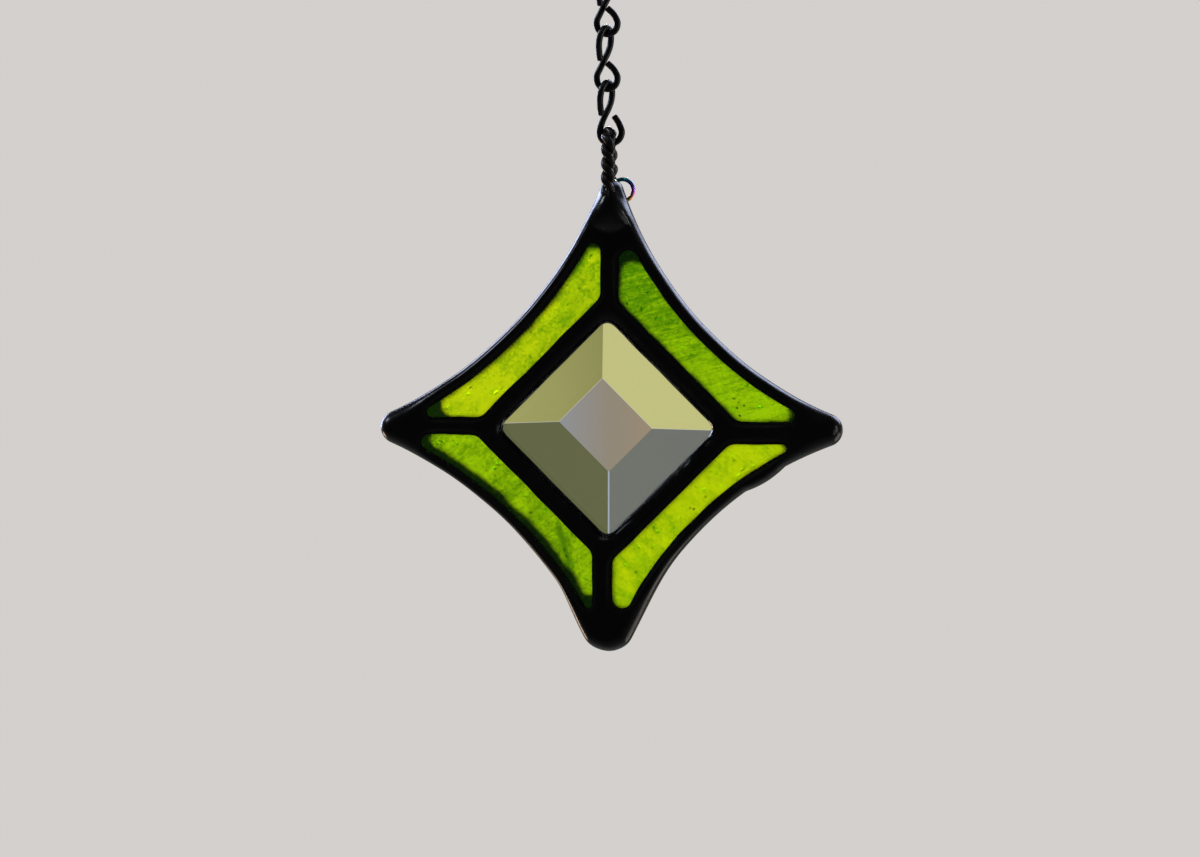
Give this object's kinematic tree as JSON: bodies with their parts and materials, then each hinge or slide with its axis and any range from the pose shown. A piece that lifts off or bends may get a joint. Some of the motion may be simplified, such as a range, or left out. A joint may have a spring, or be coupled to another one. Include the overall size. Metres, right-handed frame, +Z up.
{
  "type": "stained glass suncatcher",
  "caption": "Star-shaped suncatcher of soldered green glass round a clear bevelled square, hung from a twisted wire eye and a short chain.",
  "frame": {"origin": "inside of the crown of the top chain link, where a hook or nail carries the suncatcher", "axes": "+Z up along the chain, -Y towards the front of the plate, +X to the right seen from the front"},
  "size_m": [0.068, 0.0106, 0.0993],
  "materials": {
    "chain": "black plated steel wire, worn to a warm brown on the crowns",
    "solder": "black patina on tin-lead solder, polished and waxed",
    "clear_glass": "clear polished bevel",
    "green_glass": "lime green streaky cathedral glass with small seeds",
    "eye_wire": "tinned copper wire under black patina, brown where rubbed",
    "rainbow_ring": "iridescent rainbow plating"
  },
  "bodies": {
    "root": {"chain_link_1": "chain", "chain_link_2": "chain", "chain_link_3": "chain", "solder_frame": "solder", "bevel_square": "clear_glass", "glass_upper_left": "green_glass", "glass_lower_left": "green_glass", "glass_lower_right": "green_glass", "glass_upper_right": "green_glass", "eye_strand_1": "eye_wire", "eye_strand_2": "eye_wire", "jump_ring": "rainbow_ring"}
  },
  "joints": []
}
